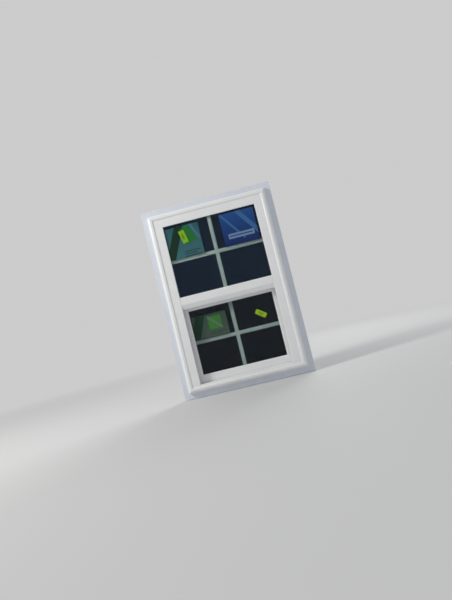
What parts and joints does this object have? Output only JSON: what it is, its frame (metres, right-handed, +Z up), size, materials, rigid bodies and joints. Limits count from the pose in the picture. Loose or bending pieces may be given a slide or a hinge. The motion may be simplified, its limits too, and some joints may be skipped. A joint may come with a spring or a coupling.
{
  "type": "single-hung sash window",
  "caption": "White vinyl single-hung sash window with nail fin and J-channel trim: fixed upper light, lower sash that slides up and tilts in.",
  "frame": {"origin": "centre of the window on the back plane of the nailing fin, midway between its four corner nail slots", "axes": "+Z up, +X to the right seen from outside, -Y out of the wall towards the outside"},
  "size_m": [0.6686, 0.087, 0.9734],
  "materials": {
    "white_vinyl": "satin",
    "trim_vinyl": "satin",
    "clear_glass": "polished",
    "spacer_metal": "mill",
    "grille_paint": "satin",
    "block_rubber": "matt",
    "pile_seal": "pile",
    "lock_paint": "satin",
    "latch_plastic": "satin",
    "shoe_plastic": "matt",
    "spring_steel": "bright",
    "bar_zinc": "plated",
    "green_film": "printed film",
    "blue_film": "printed film",
    "tag_paper": "paper"
  },
  "bodies": {
    "frame": {"frame_head": "white_vinyl", "frame_sill": "white_vinyl", "frame_jamb_left": "white_vinyl", "frame_jamb_right": "white_vinyl", "meeting_rail": "white_vinyl", "rail_seal": "pile_seal", "trim_head": "trim_vinyl", "trim_sill": "trim_vinyl", "trim_side_left": "trim_vinyl", "trim_side_right": "trim_vinyl", "upper_glass_outer": "clear_glass", "upper_glass_inner": "clear_glass", "upper_spacer": "spacer_metal", "upper_grille": "grille_paint", "upper_setting_blocks": "block_rubber", "upper_bead_foot": "white_vinyl", "upper_bead_head": "white_vinyl", "upper_bead_left": "white_vinyl", "upper_bead_right": "white_vinyl", "coil_housing_left": "shoe_plastic", "coil_housing_right": "shoe_plastic", "coil_roll_left": "spring_steel", "coil_roll_right": "spring_steel", "coil_ribbon_left": "spring_steel", "coil_ribbon_right": "spring_steel", "sash_keeper": "lock_paint", "frame_screws": "spring_steel", "upper_label_left": "green_film", "upper_label_right": "blue_film", "upper_tag": "tag_paper"},
    "sash_carriage": {"balance_shoe_left": "shoe_plastic", "balance_shoe_right": "shoe_plastic"},
    "lower_sash": {"sash_top_rail": "white_vinyl", "sash_bottom_rail": "white_vinyl", "sash_stile_left": "white_vinyl", "sash_stile_right": "white_vinyl", "lower_glass_outer": "clear_glass", "lower_glass_inner": "clear_glass", "lower_spacer": "spacer_metal", "lower_grille": "grille_paint", "lower_setting_blocks": "block_rubber", "lower_bead_foot": "white_vinyl", "lower_bead_head": "white_vinyl", "lower_bead_left": "white_vinyl", "lower_bead_right": "white_vinyl", "pivot_bar_left": "bar_zinc", "pivot_bar_right": "bar_zinc", "pivot_cam_left": "shoe_plastic", "pivot_cam_right": "shoe_plastic", "tilt_latch_housing_left": "latch_plastic", "tilt_latch_housing_right": "latch_plastic", "sash_seals": "pile_seal", "lock_housing": "lock_paint", "sash_screws": "spring_steel", "lower_label": "green_film", "lower_tag": "tag_paper"},
    "sash_lock": {"lock_cam": "lock_paint", "lock_lever": "lock_paint"},
    "latch_left": {"tilt_latch_slider_left": "latch_plastic"},
    "latch_right": {"tilt_latch_slider_right": "latch_plastic"}
  },
  "joints": [
    {"name": "sash_slide", "type": "slide", "parent": "frame", "child": "sash_carriage", "axis": [0, 0, 1], "range_m": [0, 0.36], "deforming": ["coil_ribbon_left", "coil_ribbon_right"]},
    {"name": "sash_tilt", "type": "hinge", "parent": "sash_carriage", "child": "lower_sash", "pos_m": [0, 0.02, -0.4128], "axis": [-1, 0, 0], "range_deg": [0, 90]},
    {"name": "lock_turn", "type": "hinge", "parent": "lower_sash", "child": "sash_lock", "pos_m": [0, 0.009, -0.0112], "axis": [0, 0, -1], "range_deg": [0, 115]},
    {"name": "latch_left_slide", "type": "slide", "parent": "lower_sash", "child": "latch_left", "axis": [-1, 0, 0], "range_m": [0, 0.008]},
    {"name": "latch_right_slide", "type": "slide", "parent": "lower_sash", "child": "latch_right", "axis": [1, 0, 0], "range_m": [0, 0.008]}
  ]
}
